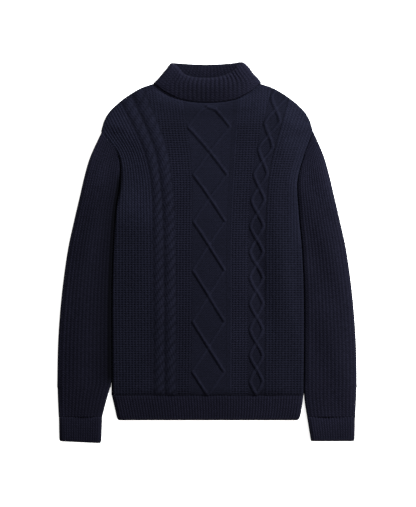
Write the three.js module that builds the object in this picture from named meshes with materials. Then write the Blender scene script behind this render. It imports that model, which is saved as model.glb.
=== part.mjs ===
// Cable knit roll neck sweater, laid flat on its back on a table, collar towards +Y.
// Millimetres, +Z up, the table at Z 0, the middle of the garment's outline at X 0, Y 0.
import * as THREE from 'three';

// Cloth and seams
const WALL = 3.0;              // knitted wall without its raised stitches
const SEAM = 0.3;              // gap kept between two pieces
const RIB_RISE = 1.2;          // crest of a rib above its trough
const FINE_RIB_RISE = 0.8;     // the same on the hem and the cuffs
const WAFFLE_RISE = 0.9;       // ribs of the narrow columns beside the diamonds
const HEM_RIBS = 68;
const CUFF_RIBS = 18;
const SLEEVE_RIBS = 14;
const SIDE_GAP = 1.3;          // between the body's side and a sleeve beside it
const NECK_GAP = 1.6;          // between the neck line and the collar's foot

// Heights above the table
const FRONT_FLOOR = WALL + SEAM;          // underside of the front
const NECK_LIFT = WALL + SEAM;            // the collar's rear fold lies under the back
const COLLAR_MIDDLE = 2 * WALL + 1.5 * SEAM;   // mid height of the flattened neck

// Lengths along the garment
const HEM_SEAM = -294;

// Raised stitches
const ROPE_PITCH = 19.5;       // one twist of a rope
const ROPE_LEAN = 28;          // height that a twist climbs from the rope's left to its right
const ROPE_RISE = 3.0;
const ROPE_GROOVE = 0.35;      // height of the groove between two twists, as a share

// Heights at which the two strands of the large diamonds cross, and of the small ones
const BIG_CROSSINGS = [
  { y: -295, crossing: 0 }, { y: -195, crossing: 1 }, { y: -90, crossing: 2 }, { y: 14, crossing: 3 },
  { y: 111, crossing: 4 }, { y: 205, crossing: 5 }, { y: 295, crossing: 6 }, { y: 385, crossing: 7 },
];
const SMALL_CROSSINGS = [{ y: -292, crossing: 0 }, { y: 372, crossing: 12.5 }];

// Half width and height of a strand, and the distance between the rows of its points
const BIG_DIAMONDS = { crossings: BIG_CROSSINGS, half: 5, rise: 2.8, step: 12 };
const LATTICE = { crossings: SMALL_CROSSINGS, half: 3.4, rise: 2.4, step: 9 };

// Edges of the front and back and of the front's stitch columns at each height.
// ribs is the number of ribs between the cable, or lattice, and the side edge.
const BODY = [
  { y: -294, left: -198, ropeLeft: -110, ropeMid: -86, ropeRight: -62, centreLeft: -34, centreRight: 36,
    latticeLeft: 84, latticeRight: 119, right: 198, ribsLeft: 13.5, ribsRight: 12.2 },
  { y: -98, left: -196, ropeLeft: -110, ropeMid: -87, ropeRight: -63, centreLeft: -32, centreRight: 37,
    latticeLeft: 84, latticeRight: 120, right: 199, ribsLeft: 13.2, ribsRight: 12.2 },
  { y: 4, left: -193, ropeLeft: -111, ropeMid: -88, ropeRight: -64, centreLeft: -32, centreRight: 37,
    latticeLeft: 84, latticeRight: 120, right: 195, ribsLeft: 12.8, ribsRight: 11.7 },
  { y: 84, left: -188, ropeLeft: -112, ropeMid: -90, ropeRight: -66, centreLeft: -31, centreRight: 39,
    latticeLeft: 86, latticeRight: 122, right: 188, ribsLeft: 12.1, ribsRight: 10.9 },
  { y: 148, left: -179, ropeLeft: -116, ropeMid: -96, ropeRight: -71, centreLeft: -31, centreRight: 42,
    latticeLeft: 91, latticeRight: 127, right: 186, ribsLeft: 10.9, ribsRight: 10.4 },
  { y: 200, left: -184, ropeLeft: -128, ropeMid: -104, ropeRight: -79, centreLeft: -35, centreRight: 45,
    latticeLeft: 99, latticeRight: 136, right: 201, ribsLeft: 10.6, ribsRight: 10.3 },
  { y: 247, left: -216, ropeLeft: -147, ropeMid: -123, ropeRight: -86, centreLeft: -41, centreRight: 48,
    latticeLeft: 110, latticeRight: 149, right: 218, ribsLeft: 10.5, ribsRight: 10.2 },
  { y: 290, left: -236, ropeLeft: -169, ropeMid: -145, ropeRight: -98, centreLeft: -46, centreRight: 51,
    latticeLeft: 121, latticeRight: 161, right: 236, ribsLeft: 10.5, ribsRight: 10.2 },
  { y: 345, left: -262, ropeLeft: -197, ropeMid: -172, ropeRight: -113, centreLeft: -53, centreRight: 55,
    latticeLeft: 135, latticeRight: 177, right: 262, ribsLeft: 10.5, ribsRight: 10.2 },
];

// Shoulder seam from its tip to the neck, by distance from the middle
const SHOULDER = [
  { x: 104, y: 346.5 }, { x: 112, y: 344 }, { x: 135, y: 336 }, { x: 163, y: 320 },
  { x: 186, y: 302 }, { x: 202, y: 285 }, { x: 212, y: 266 }, { x: 217, y: 247 },
];
const NECK_HALF = 104;
const NECK_DIP = 14;
const NECK_TOP = 346.5;

// The collar lies over an oval of the body about this height: the body's cloth lifts round
// it, and its stitches fade out under it
const COLLAR_HEIGHT = 350;
const LIFT_OVAL = { x: 128, y: 52 };
const COVER_OVAL = { x: 116, y: 47 };
const COVER_FADE = 0.13;

// Sleeve outline at each height below the underarm, by distance from the middle
const SLEEVE = [
  { y: -338, outer: 306, innerLeft: 213, innerRight: 205 },
  { y: -308, outer: 307, innerLeft: 207, innerRight: 201 },
  { y: -270, outer: 307.5, innerLeft: 200, innerRight: 200 },
  { y: -180, outer: 305.5, innerLeft: 198, innerRight: 200 },
  { y: -90, outer: 298.5, innerLeft: 196, innerRight: 200 },
  { y: 0, outer: 286.5, innerLeft: 194, innerRight: 196 },
  { y: 66, outer: 272.5, innerLeft: 190, innerRight: 190 },
  { y: 113, outer: 261.5, innerLeft: 184, innerRight: 186 },
];

// Sections of the sleeve's head, turning to lie along the armhole
const SLEEVE_HEAD = [
  { innerY: 148, outerX: 251, outerY: 158 },
  { innerY: 172, outerX: 239, outerY: 198 },
  { innerY: 196, outerX: 219, outerY: 247 },
];

const CUFF = [
  { y: -388, outer: 302, innerLeft: 218, innerRight: 213.5 },
  { y: -384, outer: 304, innerLeft: 217, innerRight: 212.5 },
  { y: -338.3, outer: 306, innerLeft: 213, innerRight: 205 },
];

const HEM = [
  { y: -344, left: -181, right: 187 }, { y: -337, left: -190, right: 191 },
  { y: -320, left: -195, right: 195 }, { y: -294.3, left: -198, right: 198 },
];

// Collar at each share of the way across it: where the front and rear fold over, and
// where their free edges hang
const COLLAR = [
  { across: -1, frontFold: 387, rearFold: 388, frontEdge: 347, rearEdge: 347 },
  { across: -0.8, frontFold: 379, rearFold: 386, frontEdge: 330, rearEdge: 340 },
  { across: -0.5, frontFold: 363, rearFold: 383, frontEdge: 314, rearEdge: 331 },
  { across: 0, frontFold: 357, rearFold: 382, frontEdge: 306.5, rearEdge: 327 },
  { across: 0.5, frontFold: 366, rearFold: 384, frontEdge: 312, rearEdge: 331 },
  { across: 0.8, frontFold: 382, rearFold: 387, frontEdge: 327, rearEdge: 340 },
  { across: 1, frontFold: 388, rearFold: 389, frontEdge: 349, rearEdge: 349 },
];
const COLLAR_SIDES = [
  { y: 300, left: -111, right: 108 }, { y: 346, left: -110, right: 108 },
  { y: 366, left: -92, right: 88 }, { y: 388, left: -77, right: 74 },
];
const COLLAR_RIBS = 44;        // crests and troughs across each face
const COLLAR_RIB_RISE = 1.1;
const NECK_TROUGH = 0.8;       // ribs of the strip that shows inside the neck

// Soft troughs and ridges of the front, as it lies: where each runs and how deep it is
const FOLDS = [
  { x: 156, y: -40, width: 12, length: 190, rise: -0.8 },
  { x: 184, y: -60, width: 14, length: 170, rise: 0.8 },
  { x: -160, y: 150, width: 16, length: 60, rise: 0.7 },
  { x: 160, y: 165, width: 14, length: 55, rise: 0.8 },
  { x: -70, y: 120, width: 30, length: 140, rise: 0.8 },
  { x: 60, y: -120, width: 40, length: 120, rise: 0.6 },
  { x: -140, y: -190, width: 22, length: 90, rise: 0.7 },
];

// Yarn colours
const NAVY = 0x1c2030;

const mix = (a, b, t) => a + (b - a) * t;

const clamp = (v, low, high) => Math.min(high, Math.max(low, v));

const smooth = (t) => {
  const s = clamp(t, 0, 1);
  return s * s * (3 - 2 * s);
};

// A column of a table read at one value of its key, on a smooth curve through its rows
function read(table, key, column, value) {
  const last = table.length - 2;
  let i = 0;
  while (i < last && value > table[i + 1][key]) i += 1;
  const row = (k) => table[clamp(k, 0, table.length - 1)];
  const a = row(i);
  const b = row(i + 1);
  const span = b[key] - a[key];
  const t = clamp((value - a[key]) / span, 0, 1);
  const slope = (k) => {
    const before = row(k - 1);
    const after = row(k + 1);
    return (after[column] - before[column]) / (after[key] - before[key]) * span;
  };
  const t2 = t * t;
  const t3 = t2 * t;
  return (2 * t3 - 3 * t2 + 1) * a[column] + (t3 - 2 * t2 + t) * slope(i)
    + (3 * t2 - 2 * t3) * b[column] + (t3 - t2) * slope(i + 1);
}

// One closed skin that is put together from chains of points
class Skin {
  constructor() {
    this.points = [];
    this.faces = [];
  }

  point(x, y, z) {
    this.points.push(x, y, z);
    return this.points.length / 3 - 1;
  }

  face(a, b, c) {
    if (a !== b && b !== c && c !== a) this.faces.push(a, b, c);
  }

  // Joins two chains that run side by side, a on the left and b on the right
  zip(a, b, place, under = false) {
    const face = (p, q, r) => (under ? this.face(p, r, q) : this.face(p, q, r));
    let i = 0;
    let j = 0;
    while (i < a.length - 1 || j < b.length - 1) {
      const nextA = i < a.length - 1 ? place(a[i + 1]) : Infinity;
      const nextB = j < b.length - 1 ? place(b[j + 1]) : Infinity;
      if (nextA <= nextB) {
        face(a[i], b[j], a[i + 1]);
        i += 1;
      } else {
        face(a[i], b[j], b[j + 1]);
        j += 1;
      }
    }
  }

  // Joins two rings of points, each with its own share of the way round
  zipRings(a, b, shareA, shareB) {
    const closedA = [...a, a[0]];
    const closedB = [...b, b[0]];
    let i = 0;
    let j = 0;
    while (i < a.length || j < b.length) {
      const nextA = i < a.length ? (shareA[i + 1] ?? 1) : Infinity;
      const nextB = j < b.length ? (shareB[j + 1] ?? 1) : Infinity;
      if (nextA <= nextB) {
        this.face(closedA[i], closedB[j], closedA[i + 1]);
        i += 1;
      } else {
        this.face(closedA[i], closedB[j], closedB[j + 1]);
        j += 1;
      }
    }
  }

  geometry() {
    const geometry = new THREE.BufferGeometry();
    geometry.setAttribute('position', new THREE.Float32BufferAttribute(this.points, 3));
    geometry.setIndex(this.faces);
    geometry.computeVertexNormals();
    return geometry;
  }
}

// Shoulder and neck line: the top edge of the front or back above any X
function topEdge(x) {
  const across = Math.abs(x);
  if (across < NECK_HALF) {
    return NECK_TOP - NECK_DIP * Math.cos((Math.PI / 2) * (across / NECK_HALF)) ** 0.8;
  }
  return read(SHOULDER, 'x', 'y', across);
}

function ovalReach(oval, x, y) {
  return Math.hypot(x / oval.x, (y - COLLAR_HEIGHT) / oval.y);
}

// Lift of the body's cloth over the collar's rear fold
function neckLift(x, y) {
  return NECK_LIFT * (1 - smooth((ovalReach(LIFT_OVAL, x, y) - 1) / 0.5));
}

function softFolds(x, y) {
  let rise = 0;
  for (const fold of FOLDS) {
    const across = (x - fold.x) / fold.width;
    const along = (y - fold.y) / fold.length;
    rise += fold.rise * Math.exp(-across * across - along * along);
  }
  return rise;
}

// Share of the stitches' height that is left near and under the collar
function clearOfCollar(x, y) {
  return smooth((ovalReach(COVER_OVAL, x, y) - 1) / COVER_FADE);
}

function frontTop(x, y, rise) {
  const show = clearOfCollar(x, y);
  return FRONT_FLOOR + WALL + neckLift(x, y) + (rise + softFolds(x, y)) * show;
}

// Height at which a column of stitches meets the shoulder or neck line
function columnTop(place) {
  let low = 230;
  let high = 350;
  for (let i = 0; i < 30; i += 1) {
    const middle = (low + high) / 2;
    if (middle < topEdge(place(middle))) low = middle;
    else high = middle;
  }
  return low;
}

// Heights of a column's points from the hem seam up, the last on the top edge
function rowsUpTo(top, step) {
  const rows = [];
  for (let y = HEM_SEAM; y < top - step * 0.35; y += step) rows.push(y);
  rows.push(top);
  return rows;
}

// The side edges' heights, closer together round the underarm
const SIDE_ROWS = [-294, -240, -180, -120, -60, 0, 40, 75, 100, 125, 150, 170, 190, 210, 230, 247];

// One side of a panel: an edge column and rib columns, which end where they reach the edge.
// side is -1 for the left; step is the number of ribs between two columns.
function ribColumns(skin, side, step, height) {
  const edgeName = side < 0 ? 'left' : 'right';
  const startName = side < 0 ? 'ropeLeft' : 'latticeRight';
  const ribsName = side < 0 ? 'ribsLeft' : 'ribsRight';
  const edge = SIDE_ROWS.map((y) => {
    const x = read(BODY, 'y', edgeName, y);
    return skin.point(x, y, height(x, y, 0));
  });
  const columns = [];
  const most = read(BODY, 'y', ribsName, HEM_SEAM);
  for (let rib = step; rib < most - 0.2; rib += step) {
    const place = (y) => mix(read(BODY, 'y', startName, y), read(BODY, 'y', edgeName, y),
      rib / read(BODY, 'y', ribsName, y));
    const reaches = (y) => rib < read(BODY, 'y', ribsName, y) - 0.2;
    const crest = Math.abs(rib % 1 - 0.5) < 0.01 ? RIB_RISE : 0;
    const column = [];
    let open = true;
    SIDE_ROWS.forEach((y, i) => {
      open = open && reaches(y);
      const x = place(y);
      column.push(open ? skin.point(x, y, height(x, y, crest)) : edge[i]);
    });
    if (open) {
      const top = columnTop(place);
      const shoulderRows = [262, 282, 300, 318, 334].filter((y) => y < top - 5);
      for (const y of [...shoulderRows, top]) {
        const x = place(y);
        column.push(skin.point(x, y, height(x, y, y === top ? 0 : crest)));
      }
    }
    columns.push(column);
  }
  columns.push(edge);
  return side < 0 ? columns.reverse() : columns;
}

// Heights, on a column, between which its stitches fade out under the collar's free edge
function collarRows(x) {
  return [1 + COVER_FADE, 1].map((reach) => {
    const drop = Math.sqrt(Math.max(0, reach ** 2 - (x / COVER_OVAL.x) ** 2));
    return COLLAR_HEIGHT - COVER_OVAL.y * drop;
  });
}

// Upright columns between two borders, at set shares of the way across
function uprightColumns(skin, leftName, rightName, shares, crests, step, height) {
  return shares.map((share, i) => {
    const place = (y) => mix(read(BODY, 'y', leftName, y), read(BODY, 'y', rightName, y), share);
    const top = columnTop(place);
    const fade = collarRows(place(320)).filter((y) => y < top - 2);
    const rows = rowsUpTo(top, step).filter((y) => y === top || !fade.length || y < fade[0] - 4);
    return [...rows.slice(0, -1), ...fade, top].map((y) => {
      const x = place(y);
      return skin.point(x, y, height(x, y, y === top ? 0 : crests[i]));
    });
  });
}

// One twisted rope: columns whose points step up across it, so that each twist leans
function ropeColumns(skin, leftName, rightName, height) {
  const shares = [0.1, 0.34, 0.66, 0.9];
  const rises = [0.45, 0.95, 0.95, 0.45];
  return shares.map((share, i) => {
    const place = (y) => mix(read(BODY, 'y', leftName, y), read(BODY, 'y', rightName, y), share);
    const top = columnTop(place);
    const lean = (share - 0.5) * ROPE_LEAN;
    const column = [skin.point(place(HEM_SEAM), HEM_SEAM, height(place(HEM_SEAM), HEM_SEAM, 0))];
    const half = ROPE_PITCH / 2;
    for (let turn = -1; HEM_SEAM + turn * half + lean < top - 3; turn += 1) {
      const y = HEM_SEAM + turn * half + lean;
      if (y > HEM_SEAM + 3) {
        const x = place(y);
        const full = turn % 2 === 0 ? 1 : ROPE_GROOVE;
        column.push(skin.point(x, y, height(x, y, ROPE_RISE * rises[i] * full)));
      }
    }
    column.push(skin.point(place(top), top, height(place(top), top, 0)));
    return column;
  });
}

// Share of the way across, -1 to 1, of a strand that zigzags and crosses the middle at
// each of the given heights
function swing(crossings, y) {
  const turn = read(crossings, 'y', 'crossing', y) / 2;
  const phase = turn - Math.floor(turn);
  if (phase < 0.25) return 4 * phase;
  return phase < 0.75 ? 2 - 4 * phase : 4 * phase - 4;
}

// Two strands that zigzag across a column and cross: each row has the strands' feet and
// crests in order across it
function strandColumns(skin, leftName, rightName, pattern, height) {
  const { crossings, half, rise, step } = pattern;
  const feet = [-1, -0.4, 0.4, 1];
  const border = half + 1;
  const middle = (y) => (read(BODY, 'y', leftName, y) + read(BODY, 'y', rightName, y)) / 2;
  const reach = (y) => (read(BODY, 'y', rightName, y) - read(BODY, 'y', leftName, y)) / 2 - border;
  const profile = (distance) => 1 - smooth((distance / half - 0.35) / 0.65);
  const columns = Array.from({ length: feet.length * 2 }, () => []);
  const rows = rowsUpTo(columnTop(middle), step);
  const last = rows[rows.length - 1];
  for (const row of rows) {
    const sway = reach(row) * swing(crossings, row);
    const strands = [middle(row) + sway, middle(row) - sway];
    const places = strands.flatMap((x) => feet.map((foot) => x + foot * half));
    places.sort((a, b) => a - b);
    for (let i = 1; i < places.length; i += 1) places[i] = Math.max(places[i], places[i - 1] + 0.5);
    places.forEach((x, i) => {
      const up = Math.max(...strands.map((strand) => profile(Math.abs(x - strand))));
      const y = row === last ? topEdge(x) : row;
      columns[i].push(skin.point(x, y, height(x, y, row === last ? 0 : rise * up)));
    });
  }
  return columns;
}

// Closes a panel whose top and bottom faces are given as columns from left to right
function closePanel(skin, upper, lower) {
  const alongY = (i) => skin.points[3 * i + 1];
  const alongX = (i) => skin.points[3 * i];
  for (let i = 0; i < upper.length - 1; i += 1) skin.zip(upper[i], upper[i + 1], alongY);
  for (let i = 0; i < lower.length - 1; i += 1) skin.zip(lower[i], lower[i + 1], alongY, true);
  const starts = (columns) => columns.map((column) => column[0]);
  const ends = (columns) => {
    const chain = columns.map((column) => column[column.length - 1]);
    return chain.filter((p, i) => i === 0 || p !== chain[i - 1]);
  };
  skin.zip(starts(upper), starts(lower), alongX);
  skin.zip(ends(lower), ends(upper), alongX);
  skin.zip(lower[0], upper[0], alongY);
  skin.zip(upper[upper.length - 1], lower[lower.length - 1], alongY);
  return skin.geometry();
}

// Plain face of a panel, seen from above, with few columns
function plainColumns(skin, height) {
  const flat = (x, y) => height(x, y, 0);
  const inner = [];
  for (const [leftName, rightName, shares] of [
    ['ropeLeft', 'ropeRight', [0, 0.5, 1]], ['centreLeft', 'centreRight', [0, 0.33, 0.66, 1]],
    ['latticeLeft', 'latticeRight', [0, 0.5, 1]]]) {
    for (const share of shares) {
      const place = (y) => mix(read(BODY, 'y', leftName, y), read(BODY, 'y', rightName, y), share);
      const top = columnTop(place);
      const rows = [HEM_SEAM, -120, 60, 180, 240, 262, 282, 300, 318].filter((y) => y < top - 5);
      inner.push([...rows, top].map((y) => skin.point(place(y), y, flat(place(y), y))));
    }
  }
  return [...ribColumns(skin, -1, 2, flat), ...inner, ...ribColumns(skin, 1, 2, flat)];
}

function buildFront() {
  const skin = new Skin();
  const waffle = [0.08, 0.2, 0.32, 0.44, 0.56, 0.68, 0.8, 0.92];
  const waffleRises = waffle.map((share, i) => (i % 2 === 0 ? 0 : WAFFLE_RISE));
  const border = (name) => uprightColumns(skin, name, name, [0], [0], 24, frontTop);
  const upper = [
    ...ribColumns(skin, -1, 0.5, frontTop),
    ...border('ropeLeft'),
    ...ropeColumns(skin, 'ropeLeft', 'ropeMid', frontTop),
    ...border('ropeMid'),
    ...ropeColumns(skin, 'ropeMid', 'ropeRight', frontTop),
    ...border('ropeRight'),
    ...uprightColumns(skin, 'ropeRight', 'centreLeft', waffle, waffleRises, 30, frontTop),
    ...border('centreLeft'),
    ...strandColumns(skin, 'centreLeft', 'centreRight', BIG_DIAMONDS, frontTop),
    ...border('centreRight'),
    ...uprightColumns(skin, 'centreRight', 'latticeLeft', waffle, waffleRises, 30, frontTop),
    ...border('latticeLeft'),
    ...strandColumns(skin, 'latticeLeft', 'latticeRight', LATTICE, frontTop),
    ...border('latticeRight'),
    ...ribColumns(skin, 1, 0.5, frontTop),
  ];
  const lower = plainColumns(skin, (x, y) => FRONT_FLOOR + neckLift(x, y));
  return closePanel(skin, upper, lower);
}

function buildBack() {
  const skin = new Skin();
  const upper = plainColumns(skin, (x, y) => WALL + neckLift(x, y));
  const lower = plainColumns(skin, (x, y) => neckLift(x, y));
  return closePanel(skin, upper, lower);
}

// A flattened tube of cloth, open at both ends. Each section gives the point of the plan at
// a share of the way from its left end to its right; ribs run from section to section.
function buildTube(sections, ribs, rise) {
  const skin = new Skin();
  const high = 2 * WALL + SEAM;
  const shares = [];
  const lift = [];
  for (let i = 0; i <= ribs * 2; i += 1) {
    shares.push(mix(0.03, 0.97, i / (ribs * 2)));
    lift.push(high + (i % 2 === 1 ? rise : 0));
  }
  const outline = [
    ...shares.map((share, i) => ({ share, z: lift[i] })),
    { share: 0.995, z: high * 0.72 }, { share: 1, z: high * 0.45 }, { share: 0.985, z: 0 },
    { share: 0.66, z: 0 }, { share: 0.33, z: 0 }, { share: 0.015, z: 0 },
    { share: 0, z: high * 0.45 }, { share: 0.005, z: high * 0.72 },
  ];
  const hollow = [
    { share: 0.045, z: WALL + SEAM }, { share: 0.35, z: WALL + SEAM }, { share: 0.65, z: WALL + SEAM },
    { share: 0.955, z: WALL + SEAM }, { share: 0.965, z: WALL + SEAM / 2 }, { share: 0.955, z: WALL },
    { share: 0.65, z: WALL }, { share: 0.35, z: WALL }, { share: 0.045, z: WALL },
    { share: 0.035, z: WALL + SEAM / 2 },
  ];
  const ring = (section, form) => form.map(({ share, z }) => {
    const { x, y } = section(share);
    return skin.point(x, y, z);
  });
  const outer = sections.map((section) => ring(section, outline));
  const inner = sections.map((section) => ring(section, hollow));
  const wrap = (rings, turned) => {
    for (let k = 0; k < rings.length - 1; k += 1) {
      const count = rings[k].length;
      for (let i = 0; i < count; i += 1) {
        const j = (i + 1) % count;
        const [a, b, c, d] = [rings[k][i], rings[k][j], rings[k + 1][j], rings[k + 1][i]];
        if (turned) {
          skin.face(a, c, b);
          skin.face(a, d, c);
        } else {
          skin.face(a, b, c);
          skin.face(a, c, d);
        }
      }
    }
  };
  wrap(outer, false);
  wrap(inner, true);
  const round = (form) => {
    const turn = form.map(({ share, z }, i) => {
      const upper = i < form.length / 2 || z > WALL + SEAM / 2;
      return upper && i < form.length - 2 ? share / 2 : 1 - share / 2;
    });
    turn[0] = 0;
    for (let i = 1; i < turn.length; i += 1) turn[i] = Math.max(turn[i], turn[i - 1]);
    return turn;
  };
  const end = (k, turned) => {
    const a = turned ? inner[k] : outer[k];
    const b = turned ? outer[k] : inner[k];
    const formA = turned ? hollow : outline;
    const formB = turned ? outline : hollow;
    skin.zipRings(b, a, round(formB), round(formA));
  };
  end(0, true);
  end(sections.length - 1, false);
  return skin.geometry();
}

// A straight section between two points of the plan
const straight = (a, b) => (share) => ({ x: mix(a.x, b.x, share), y: mix(a.y, b.y, share) });

// A section given by distances from the middle, on the left or the right of the body
function sideSection(side, near, far) {
  const a = { x: side * near.x, y: near.y };
  const b = { x: side * far.x, y: far.y };
  return side < 0 ? straight(b, a) : straight(a, b);
}

// Sections of a sleeve from the cuff seam up to the armhole
function sleeveSections(side) {
  const edge = (y) => Math.abs(read(BODY, 'y', side < 0 ? 'left' : 'right', y)) + SIDE_GAP;
  const innerName = side < 0 ? 'innerLeft' : 'innerRight';
  const sections = SLEEVE.map((row) => {
    const near = Math.max(row[innerName], row.y > HEM_SEAM ? edge(row.y) : 0);
    return sideSection(side, { x: near, y: row.y }, { x: row.outer, y: row.y });
  });
  SLEEVE_HEAD.forEach(({ innerY, outerX, outerY }, i) => {
    const near = { x: edge(innerY), y: innerY };
    const far = { x: outerX, y: outerY };
    if (i < SLEEVE_HEAD.length - 1) {
      sections.push(sideSection(side, near, far));
      return;
    }
    sections.push((share) => {
      const out = side < 0 ? 1 - share : share;
      const y = mix(innerY, outerY, out);
      return { x: side * (edge(y) + SIDE_GAP * out), y };
    });
  });
  return sections;
}

function cuffSections(side) {
  const innerName = side < 0 ? 'innerLeft' : 'innerRight';
  return CUFF.map((row) => sideSection(side, { x: row[innerName], y: row.y },
    { x: row.outer, y: row.y }));
}

function hemSections() {
  return HEM.map((row) => straight({ x: row.left, y: row.y }, { x: row.right, y: row.y }));
}

// Stations round the flattened collar: its front, a fold at the right, its rear, a fold at
// the left. turn is the way the cloth faces, 90 up and -90 down.
function collarStations() {
  const ribs = COLLAR_RIBS;
  const folds = 4;
  const stations = [];
  for (let i = 0; i <= ribs; i += 1) {
    stations.push({ across: mix(-1, 1, i / ribs), turn: 90, crest: i % 2 });
  }
  for (let i = 1; i <= folds; i += 1) {
    stations.push({ across: 1, turn: 90 - 180 * i / (folds + 1), crest: 0 });
  }
  for (let i = 0; i <= ribs; i += 1) {
    stations.push({ across: mix(1, -1, i / ribs), turn: -90, crest: i % 2 });
  }
  for (let i = 1; i <= folds; i += 1) {
    stations.push({ across: -1, turn: -90 - 180 * i / (folds + 1), crest: 0 });
  }
  return stations;
}

// Section of the folded strip: distance out from the middle of the neck, and height
function collarSection(base, fold, edge, crest, trough) {
  const inner = SEAM / 2;
  const crease = inner + WALL;
  const outer = crease + SEAM + WALL;
  const middle = crease + SEAM / 2;
  return [
    { out: inner, y: base }, { out: inner + trough, y: mix(base, fold, 0.45) },
    { out: inner + trough, y: fold - 3 }, { out: inner + 1, y: fold - 0.9 },
    { out: middle, y: fold }, { out: outer - 1, y: fold - 0.9 },
    { out: outer + crest, y: fold - 4 }, { out: outer + crest, y: mix(edge, fold, 0.5) },
    { out: outer + crest, y: edge + 2 }, { out: outer - 0.8, y: edge },
    { out: crease + SEAM, y: edge + 0.2 }, { out: crease + SEAM, y: fold - 3.6 },
    { out: middle, y: fold - 3.2 }, { out: crease, y: fold - 3.6 }, { out: crease, y: base },
  ];
}

// Middle and half width of the neck loop at a height
function neckLoop(y) {
  const left = read(COLLAR_SIDES, 'y', 'left', y) + 2 * WALL;
  const right = read(COLLAR_SIDES, 'y', 'right', y) - 2 * WALL;
  return { middle: (left + right) / 2, half: (right - left) / 2 };
}

// The collar: one ribbed strip, sewn to the neck line, folded over and turned down outside
function buildCollar() {
  const skin = new Skin();
  const foot = neckLoop(NECK_TOP - NECK_DIP);
  const rings = collarStations().map(({ across, turn, crest }) => {
    const angle = turn * Math.PI / 180;
    const front = (Math.sin(angle) + 1) / 2;
    const blend = (rear, fore) => mix(read(COLLAR, 'across', rear, across),
      read(COLLAR, 'across', fore, across), front);
    const base = topEdge(clamp(foot.middle + foot.half * across, -NECK_HALF, NECK_HALF)) + NECK_GAP;
    const section = collarSection(base, blend('rearFold', 'frontFold'), blend('rearEdge', 'frontEdge'),
      turn === 90 ? crest * COLLAR_RIB_RISE : 0, turn === -90 ? (1 - crest) * NECK_TROUGH : 0);
    return section.map(({ out, y }) => {
      const { middle, half } = neckLoop(y);
      return skin.point(middle + half * across + out * Math.cos(angle), y,
        COLLAR_MIDDLE + out * Math.sin(angle));
    });
  });
  rings.forEach((ring, k) => {
    const next = rings[(k + 1) % rings.length];
    ring.forEach((point, i) => {
      const j = (i + 1) % ring.length;
      skin.face(point, ring[j], next[j]);
      skin.face(point, next[j], next[i]);
    });
  });
  return skin.geometry();
}

// Combed wool: a matt dark navy yarn
function wool(name) {
  const material = new THREE.MeshStandardMaterial({ color: NAVY, roughness: 0.95, metalness: 0 });
  material.name = name;
  return material;
}

const sweater = new THREE.Group();
sweater.name = 'sweater';

function add(name, geometry) {
  const mesh = new THREE.Mesh(geometry, wool(`${name}_wool`));
  mesh.name = name;
  sweater.add(mesh);
}

add('back', buildBack());
add('front', buildFront());
add('hem_band', buildTube(hemSections(), HEM_RIBS, FINE_RIB_RISE));
add('sleeve_left', buildTube(sleeveSections(-1), SLEEVE_RIBS, RIB_RISE));
add('sleeve_right', buildTube(sleeveSections(1), SLEEVE_RIBS, RIB_RISE));
add('cuff_left', buildTube(cuffSections(-1), CUFF_RIBS, FINE_RIB_RISE));
add('cuff_right', buildTube(cuffSections(1), CUFF_RIBS, FINE_RIB_RISE));
add('collar', buildCollar());

export default sweater;
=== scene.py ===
# A navy cable knit sweater with a roll neck, laid flat on its back. Metres, +Z up, the table
# at Z 0 and the collar towards +Y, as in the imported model.
import math

import bmesh
import bpy
import numpy as np
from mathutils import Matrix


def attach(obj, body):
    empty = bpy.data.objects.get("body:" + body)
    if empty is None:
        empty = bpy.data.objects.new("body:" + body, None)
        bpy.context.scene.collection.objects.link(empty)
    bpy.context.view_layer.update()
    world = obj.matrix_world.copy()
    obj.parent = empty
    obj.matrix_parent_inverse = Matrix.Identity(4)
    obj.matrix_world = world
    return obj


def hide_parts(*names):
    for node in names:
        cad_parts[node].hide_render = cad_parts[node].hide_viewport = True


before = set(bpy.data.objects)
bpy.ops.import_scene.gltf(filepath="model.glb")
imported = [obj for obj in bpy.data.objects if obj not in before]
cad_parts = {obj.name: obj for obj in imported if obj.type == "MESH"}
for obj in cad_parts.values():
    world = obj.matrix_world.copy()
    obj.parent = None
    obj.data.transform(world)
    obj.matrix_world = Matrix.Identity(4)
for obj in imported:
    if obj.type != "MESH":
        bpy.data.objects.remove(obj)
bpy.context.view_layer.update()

MM = 0.001

# Camera
# Straight above the sweater, as in the photograph, and far enough away that the sides of
# the ribs hardly show. The frame is 416 by 507 pixels.
PIXEL = 2.05 * MM
FRAME_HEIGHT = 507 * PIXEL
FRAME_CENTRE = (2.0 * MM, -3.1 * MM)
CAMERA_HEIGHT = 3.4
MIDDLE_HEIGHT = 7 * MM        # of the sweater, where a pixel has its size
SENSOR = 24

camera_data = bpy.data.cameras.new("camera")
camera_data.sensor_fit = "VERTICAL"
camera_data.sensor_height = SENSOR
camera_data.lens = SENSOR * (CAMERA_HEIGHT - MIDDLE_HEIGHT) / FRAME_HEIGHT
camera = bpy.data.objects.new("camera", camera_data)
camera.location = (*FRAME_CENTRE, CAMERA_HEIGHT)
bpy.context.scene.collection.objects.link(camera)
bpy.context.scene.camera = camera
bpy.context.scene.view_settings.view_transform = "Standard"


# Table
# A light table: a matt opal sheet, larger than the frame, lit evenly from below until it is
# all but white and drowns most shadows.
def linear(hex_colour):
    """An sRGB hex colour as linear red, green, blue and alpha."""
    channels = [int(hex_colour[i:i + 2], 16) / 255 for i in (1, 3, 5)]
    return [c / 12.92 if c <= 0.04045 else ((c + 0.055) / 1.055) ** 2.4 for c in channels] + [1]


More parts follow.
